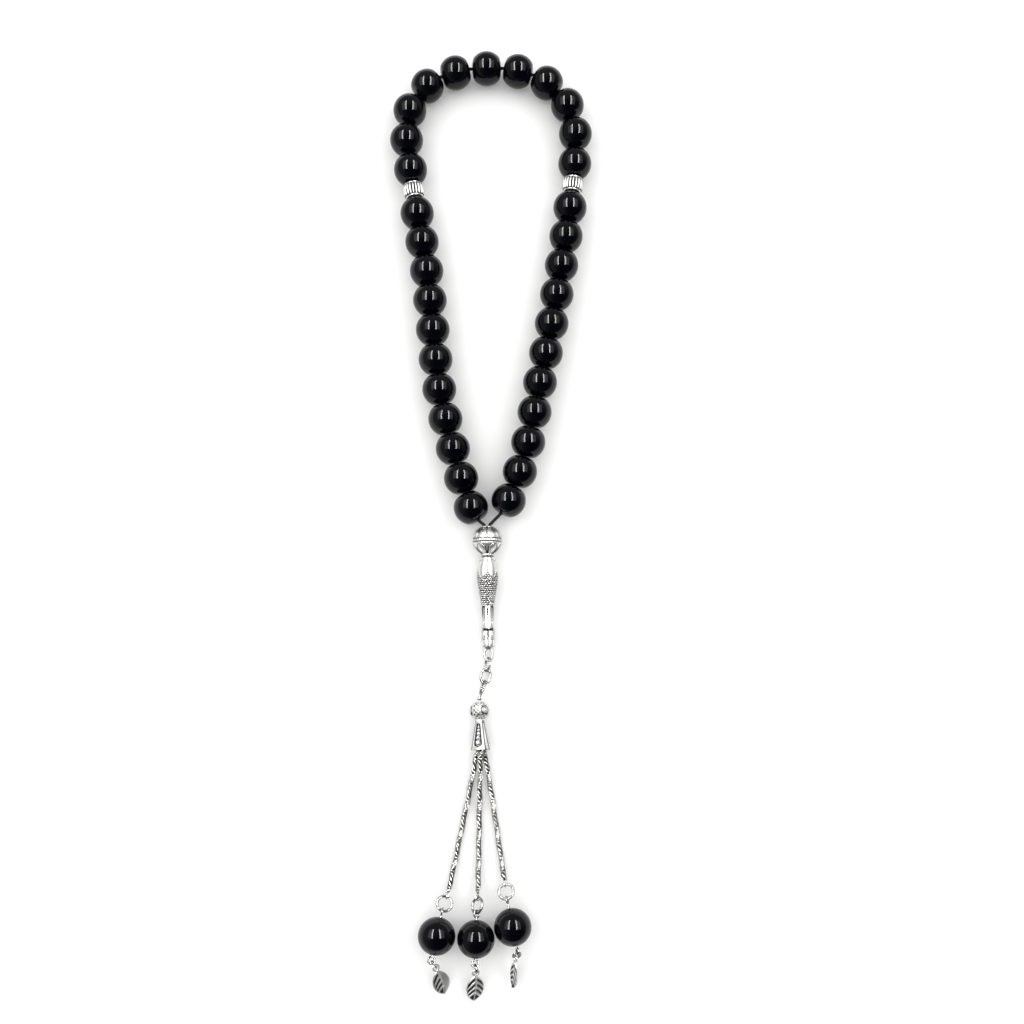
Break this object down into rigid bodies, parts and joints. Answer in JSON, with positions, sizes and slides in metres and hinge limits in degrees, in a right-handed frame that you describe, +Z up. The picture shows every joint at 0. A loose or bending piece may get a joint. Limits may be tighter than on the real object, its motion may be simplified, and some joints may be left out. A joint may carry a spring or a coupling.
{
  "type": "misbaha prayer beads",
  "caption": "Loop of polished black stone prayer beads on a cord, with ribbed spacers, a silver leader and a capped tassel of chains, stone drops and leaf charms.",
  "frame": {"origin": "under the middle of the whole laid-out piece, on the table", "axes": "+Y up the loop away from the tassel, +Z up from the table"},
  "size_m": [0.0609, 0.2795, 0.0104],
  "materials": {
    "onyx": "polished, glassy black stone with faint cloudy tints",
    "antique_silver": "bright silver plate with darkened recesses",
    "silver_wire": "bright drawn silver-plated wire",
    "chain_silver": "silver-plated twisted chain, slightly darkened between links",
    "cord": "braided black nylon cord"
  },
  "bodies": {
    "strand": {"cord": "cord"},
    "bead_01": {"bead_01": "onyx"},
    "bead_02": {"bead_02": "onyx"},
    "bead_03": {"bead_03": "onyx"},
    "bead_04": {"bead_04": "onyx"},
    "bead_05": {"bead_05": "onyx"},
    "bead_06": {"bead_06": "onyx"},
    "bead_07": {"bead_07": "onyx"},
    "bead_08": {"bead_08": "onyx"},
    "bead_09": {"bead_09": "onyx"},
    "bead_10": {"bead_10": "onyx"},
    "bead_11": {"bead_11": "onyx"},
    "bead_12": {"bead_12": "onyx"},
    "bead_13": {"bead_13": "onyx"},
    "bead_14": {"bead_14": "onyx"},
    "bead_15": {"bead_15": "onyx"},
    "bead_16": {"bead_16": "onyx"},
    "bead_17": {"bead_17": "onyx"},
    "bead_18": {"bead_18": "onyx"},
    "bead_19": {"bead_19": "onyx"},
    "bead_20": {"bead_20": "onyx"},
    "bead_21": {"bead_21": "onyx"},
    "bead_22": {"bead_22": "onyx"},
    "bead_23": {"bead_23": "onyx"},
    "bead_24": {"bead_24": "onyx"},
    "bead_25": {"bead_25": "onyx"},
    "bead_26": {"bead_26": "onyx"},
    "bead_27": {"bead_27": "onyx"},
    "bead_28": {"bead_28": "onyx"},
    "bead_29": {"bead_29": "onyx"},
    "bead_30": {"bead_30": "onyx"},
    "bead_31": {"bead_31": "onyx"},
    "bead_32": {"bead_32": "onyx"},
    "bead_33": {"bead_33": "onyx"},
    "spacer_left": {"spacer_left": "antique_silver"},
    "spacer_right": {"spacer_right": "antique_silver"},
    "imam_ball": {"imam_ball": "antique_silver"},
    "imam_tower": {"imam_tower": "antique_silver"},
    "swivel_ring": {"swivel_ring": "silver_wire"},
    "oval_link": {"oval_link": "silver_wire"},
    "tassel_pin": {"tassel_pin": "silver_wire"},
    "tassel_cap": {"tassel_cap": "antique_silver"},
    "chain_left": {"chain_left": "chain_silver"},
    "chain_middle": {"chain_middle": "chain_silver"},
    "chain_right": {"chain_right": "chain_silver"},
    "jump_ring_left": {"jump_ring_left": "silver_wire"},
    "jump_ring_middle": {"jump_ring_middle": "silver_wire"},
    "jump_ring_right": {"jump_ring_right": "silver_wire"},
    "drop_pin_left": {"drop_pin_left": "silver_wire"},
    "drop_pin_middle": {"drop_pin_middle": "silver_wire"},
    "drop_pin_right": {"drop_pin_right": "silver_wire"},
    "drop_bead_left": {"drop_bead_left": "onyx"},
    "drop_bead_middle": {"drop_bead_middle": "onyx"},
    "drop_bead_right": {"drop_bead_right": "onyx"},
    "charm_ring_left": {"charm_ring_left": "silver_wire"},
    "charm_ring_middle": {"charm_ring_middle": "silver_wire"},
    "charm_ring_right": {"charm_ring_right": "silver_wire"},
    "leaf_left": {"leaf_left": "antique_silver"},
    "leaf_middle": {"leaf_middle": "antique_silver"},
    "leaf_right": {"leaf_right": "antique_silver"}
  },
  "joints": [
    {"name": "imam_swing", "type": "hinge", "parent": "strand", "child": "imam_ball", "pos_m": [-0.0009, -0.0067, 0.00451], "axis": [1, 0, 0], "range_deg": [-45, 45], "deforming": ["cord"]},
    {"name": "tower_spin", "type": "hinge", "parent": "imam_ball", "child": "imam_tower", "pos_m": [-0.0009, -0.0065, 0.00453], "axis": [0.0113, -0.9972, -0.0741], "continuous": true},
    {"name": "swivel_ring_hinge", "type": "hinge", "parent": "imam_tower", "child": "swivel_ring", "pos_m": [-0.00046, -0.04529, 0.00164], "axis": [0.9999, 0.0113, 0], "range_deg": [-35, 35]},
    {"name": "oval_link_hinge", "type": "hinge", "parent": "swivel_ring", "child": "oval_link", "pos_m": [-0.00107, -0.04841, 0.00131], "axis": [0.5033, -0.1881, 0.8434], "range_deg": [-35, 35]},
    {"name": "tassel_pin_hinge", "type": "hinge", "parent": "oval_link", "child": "tassel_pin", "pos_m": [-0.00161, -0.05184, 0.00113], "axis": [0.9678, -0.1423, -0.2076], "range_deg": [-35, 35]},
    {"name": "tassel_cap_spin", "type": "hinge", "parent": "tassel_pin", "child": "tassel_cap", "pos_m": [-0.0029, -0.0597, 0.0028], "axis": [0.0363, -0.9991, 0.0227], "continuous": true},
    {"name": "chain_left_splay", "type": "hinge", "parent": "tassel_pin", "child": "chain_left", "pos_m": [-0.00344, -0.07085, 0.0026], "axis": [0, 0, -1], "range_deg": [0, 30]},
    {"name": "chain_middle_lift", "type": "hinge", "parent": "tassel_pin", "child": "chain_middle", "pos_m": [-0.00249, -0.07085, 0.00425], "axis": [-1, 0, 0], "range_deg": [0, 45]},
    {"name": "chain_right_splay", "type": "hinge", "parent": "tassel_pin", "child": "chain_right", "pos_m": [-0.00154, -0.07085, 0.0026], "axis": [0, 0, 1], "range_deg": [0, 30]},
    {"name": "jump_ring_left_hinge", "type": "hinge", "parent": "chain_left", "child": "jump_ring_left", "pos_m": [-0.01177, -0.11111, 0.00282], "axis": [0.9511, -0.309, 0], "range_deg": [-40, 40]},
    {"name": "drop_pin_left_hinge", "type": "hinge", "parent": "jump_ring_left", "child": "drop_pin_left", "pos_m": [-0.01298, -0.11482, 0.00424], "axis": [0.9511, -0.309, 0], "range_deg": [-40, 40]},
    {"name": "drop_bead_left_spin", "type": "hinge", "parent": "drop_pin_left", "child": "drop_bead_left", "pos_m": [-0.0144, -0.1215, 0.0052], "axis": [-0.2059, -0.9686, 0.1392], "continuous": true},
    {"name": "charm_ring_left_hinge", "type": "hinge", "parent": "drop_pin_left", "child": "charm_ring_left", "pos_m": [-0.01518, -0.12857, 0.00609], "axis": [0.7931, 0.5768, -0.1956], "range_deg": [-40, 40]},
    {"name": "leaf_left_hinge", "type": "hinge", "parent": "charm_ring_left", "child": "leaf_left", "pos_m": [-0.0147, -0.12924, 0.00545], "axis": [-0.8582, -0.4179, 0.2979], "range_deg": [-40, 40]},
    {"name": "jump_ring_middle_hinge", "type": "hinge", "parent": "chain_middle", "child": "jump_ring_middle", "pos_m": [-0.00321, -0.11142, 0.00341], "axis": [-0.9986, 0.0523, 0], "range_deg": [0, 40]},
    {"name": "drop_pin_middle_hinge", "type": "hinge", "parent": "jump_ring_middle", "child": "drop_pin_middle", "pos_m": [-0.00342, -0.11531, 0.00483], "axis": [-0.9986, 0.0523, 0], "range_deg": [0, 40]},
    {"name": "drop_bead_middle_spin", "type": "hinge", "parent": "drop_pin_middle", "child": "drop_bead_middle", "pos_m": [-0.0036, -0.1223, 0.0052], "axis": [-0.0261, -0.9983, 0.0523], "continuous": true},
    {"name": "charm_ring_middle_hinge", "type": "hinge", "parent": "drop_pin_middle", "child": "charm_ring_middle", "pos_m": [-0.00362, -0.12973, 0.00555], "axis": [0.9654, 0.1497, -0.2137], "range_deg": [-40, 40]},
    {"name": "leaf_middle_hinge", "type": "hinge", "parent": "charm_ring_middle", "child": "leaf_middle", "pos_m": [-0.00358, -0.13052, 0.00488], "axis": [-0.964, -0.0568, 0.2597], "range_deg": [-40, 40]},
    {"name": "jump_ring_right_hinge", "type": "hinge", "parent": "chain_right", "child": "jump_ring_right", "pos_m": [0.00435, -0.10783, 0.00244], "axis": [0.9569, 0.2149, 0.1954], "range_deg": [-40, 40]},
    {"name": "drop_pin_right_hinge", "type": "hinge", "parent": "jump_ring_right", "child": "drop_pin_right", "pos_m": [0.00492, -0.11168, 0.00386], "axis": [0.9569, 0.2149, 0.1954], "range_deg": [-40, 40]},
    {"name": "drop_bead_right_spin", "type": "hinge", "parent": "drop_pin_right", "child": "drop_bead_right", "pos_m": [0.0065, -0.1191, 0.0052], "axis": [0.2048, -0.9633, 0.1736], "continuous": true},
    {"name": "charm_ring_right_hinge", "type": "hinge", "parent": "drop_pin_right", "child": "charm_ring_right", "pos_m": [0.00774, -0.12608, 0.00571], "axis": [0.3242, -0.6383, 0.6982], "range_deg": [-40, 40]},
    {"name": "leaf_right_hinge", "type": "hinge", "parent": "charm_ring_right", "child": "leaf_right", "pos_m": [0.00735, -0.12678, 0.00502], "axis": [-0.369, 0.4034, -0.8373], "range_deg": [-40, 40]},
    {"name": "bead_01_spin", "type": "hinge", "parent": "strand", "child": "bead_01", "pos_m": [-0.00556, -0.00139, 0.005], "axis": [-0.5016, 0.8651, 0], "continuous": true},
    {"name": "bead_02_spin", "type": "hinge", "parent": "strand", "child": "bead_02", "pos_m": [-0.00843, 0.00727, 0.005], "axis": [-0.2807, 0.9598, 0], "continuous": true},
    {"name": "bead_03_spin", "type": "hinge", "parent": "strand", "child": "bead_03", "pos_m": [-0.01089, 0.01608, 0.005], "axis": [-0.253, 0.9675, 0], "continuous": true},
    {"name": "bead_04_spin", "type": "hinge", "parent": "strand", "child": "bead_04", "pos_m": [-0.01313, 0.02495, 0.005], "axis": [-0.231, 0.9729, 0], "continuous": true},
    {"name": "bead_05_spin", "type": "hinge", "parent": "strand", "child": "bead_05", "pos_m": [-0.01498, 0.03391, 0.005], "axis": [-0.1684, 0.9857, 0], "continuous": true},
    {"name": "bead_06_spin", "type": "hinge", "parent": "strand", "child": "bead_06", "pos_m": [-0.01615, 0.04298, 0.005], "axis": [-0.0997, 0.995, 0], "continuous": true},
    {"name": "bead_07_spin", "type": "hinge", "parent": "strand", "child": "bead_07", "pos_m": [-0.01706, 0.05209, 0.005], "axis": [-0.1074, 0.9942, 0], "continuous": true},
    {"name": "bead_08_spin", "type": "hinge", "parent": "strand", "child": "bead_08", "pos_m": [-0.01798, 0.06119, 0.005], "axis": [-0.1009, 0.9949, 0], "continuous": true},
    {"name": "bead_09_spin", "type": "hinge", "parent": "strand", "child": "bead_09", "pos_m": [-0.01904, 0.07028, 0.005], "axis": [-0.1397, 0.9902, 0], "continuous": true},
    {"name": "bead_10_spin", "type": "hinge", "parent": "strand", "child": "bead_10", "pos_m": [-0.02051, 0.07931, 0.005], "axis": [-0.1735, 0.9848, 0], "continuous": true},
    {"name": "bead_11_spin", "type": "hinge", "parent": "strand", "child": "bead_11", "pos_m": [-0.02205, 0.08833, 0.005], "axis": [-0.1577, 0.9875, 0], "continuous": true},
    {"name": "bead_12_spin", "type": "hinge", "parent": "strand", "child": "bead_12", "pos_m": [-0.02418, 0.10217, 0.005], "axis": [-0.1615, 0.9869, 0], "continuous": true},
    {"name": "bead_13_spin", "type": "hinge", "parent": "strand", "child": "bead_13", "pos_m": [-0.02549, 0.11167, 0.005], "axis": [-0.0262, 0.9997, 0], "continuous": true},
    {"name": "bead_14_spin", "type": "hinge", "parent": "strand", "child": "bead_14", "pos_m": [-0.02461, 0.12118, 0.005], "axis": [0.3202, 0.9474, 0], "continuous": true},
    {"name": "bead_15_spin", "type": "hinge", "parent": "strand", "child": "bead_15", "pos_m": [-0.01938, 0.1291, 0.005], "axis": [0.7493, 0.6623, 0], "continuous": true},
    {"name": "bead_16_spin", "type": "hinge", "parent": "strand", "child": "bead_16", "pos_m": [-0.01089, 0.13343, 0.005], "axis": [0.9545, 0.2982, 0], "continuous": true},
    {"name": "bead_17_spin", "type": "hinge", "parent": "strand", "child": "bead_17", "pos_m": [-0.00142, 0.1348, 0.005], "axis": [0.9997, 0.0237, 0], "continuous": true},
    {"name": "bead_18_spin", "type": "hinge", "parent": "strand", "child": "bead_18", "pos_m": [0.00811, 0.13387, 0.005], "axis": [0.9694, -0.2457, 0], "continuous": true},
    {"name": "bead_19_spin", "type": "hinge", "parent": "strand", "child": "bead_19", "pos_m": [0.01687, 0.13009, 0.005], "axis": [0.8079, -0.5893, 0], "continuous": true},
    {"name": "bead_20_spin", "type": "hinge", "parent": "strand", "child": "bead_20", "pos_m": [0.02306, 0.12287, 0.005], "axis": [0.4581, -0.8889, 0], "continuous": true},
    {"name": "bead_21_spin", "type": "hinge", "parent": "strand", "child": "bead_21", "pos_m": [0.02543, 0.11362, 0.005], "axis": [0.111, -0.9938, 0], "continuous": true},
    {"name": "bead_22_spin", "type": "hinge", "parent": "strand", "child": "bead_22", "pos_m": [0.02518, 0.10405, 0.005], "axis": [-0.0955, -0.9954, 0], "continuous": true},
    {"name": "bead_23_spin", "type": "hinge", "parent": "strand", "child": "bead_23", "pos_m": [0.02365, 0.09014, 0.005], "axis": [-0.129, -0.9916, 0], "continuous": true},
    {"name": "bead_24_spin", "type": "hinge", "parent": "strand", "child": "bead_24", "pos_m": [0.02239, 0.08107, 0.005], "axis": [-0.1462, -0.9893, 0], "continuous": true},
    {"name": "bead_25_spin", "type": "hinge", "parent": "strand", "child": "bead_25", "pos_m": [0.021, 0.07203, 0.005], "axis": [-0.1549, -0.9879, 0], "continuous": true},
    {"name": "bead_26_spin", "type": "hinge", "parent": "strand", "child": "bead_26", "pos_m": [0.01955, 0.06299, 0.005], "axis": [-0.1636, -0.9865, 0], "continuous": true},
    {"name": "bead_27_spin", "type": "hinge", "parent": "strand", "child": "bead_27", "pos_m": [0.018, 0.05398, 0.005], "axis": [-0.1782, -0.984, 0], "continuous": true},
    {"name": "bead_28_spin", "type": "hinge", "parent": "strand", "child": "bead_28", "pos_m": [0.01628, 0.04499, 0.005], "axis": [-0.1941, -0.981, 0], "continuous": true},
    {"name": "bead_29_spin", "type": "hinge", "parent": "strand", "child": "bead_29", "pos_m": [0.0145, 0.03601, 0.005], "axis": [-0.1892, -0.9819, 0], "continuous": true},
    {"name": "bead_30_spin", "type": "hinge", "parent": "strand", "child": "bead_30", "pos_m": [0.01287, 0.02701, 0.005], "axis": [-0.1784, -0.984, 0], "continuous": true},
    {"name": "bead_31_spin", "type": "hinge", "parent": "strand", "child": "bead_31", "pos_m": [0.01101, 0.01805, 0.005], "axis": [-0.237, -0.9715, 0], "continuous": true},
    {"name": "bead_32_spin", "type": "hinge", "parent": "strand", "child": "bead_32", "pos_m": [0.00858, 0.00924, 0.005], "axis": [-0.3058, -0.9521, 0], "continuous": true},
    {"name": "bead_33_spin", "type": "hinge", "parent": "strand", "child": "bead_33", "pos_m": [0.00532, 0.0007, 0.005], "axis": [-0.5024, -0.8646, 0], "continuous": true},
    {"name": "spacer_left_spin", "type": "hinge", "parent": "strand", "child": "spacer_left", "pos_m": [-0.02314, 0.09524, 0.005], "axis": [-0.1523, 0.9883, 0], "continuous": true},
    {"name": "spacer_right_spin", "type": "hinge", "parent": "strand", "child": "spacer_right", "pos_m": [0.02452, 0.09708, 0.005], "axis": [-0.1127, -0.9936, 0], "continuous": true}
  ]
}
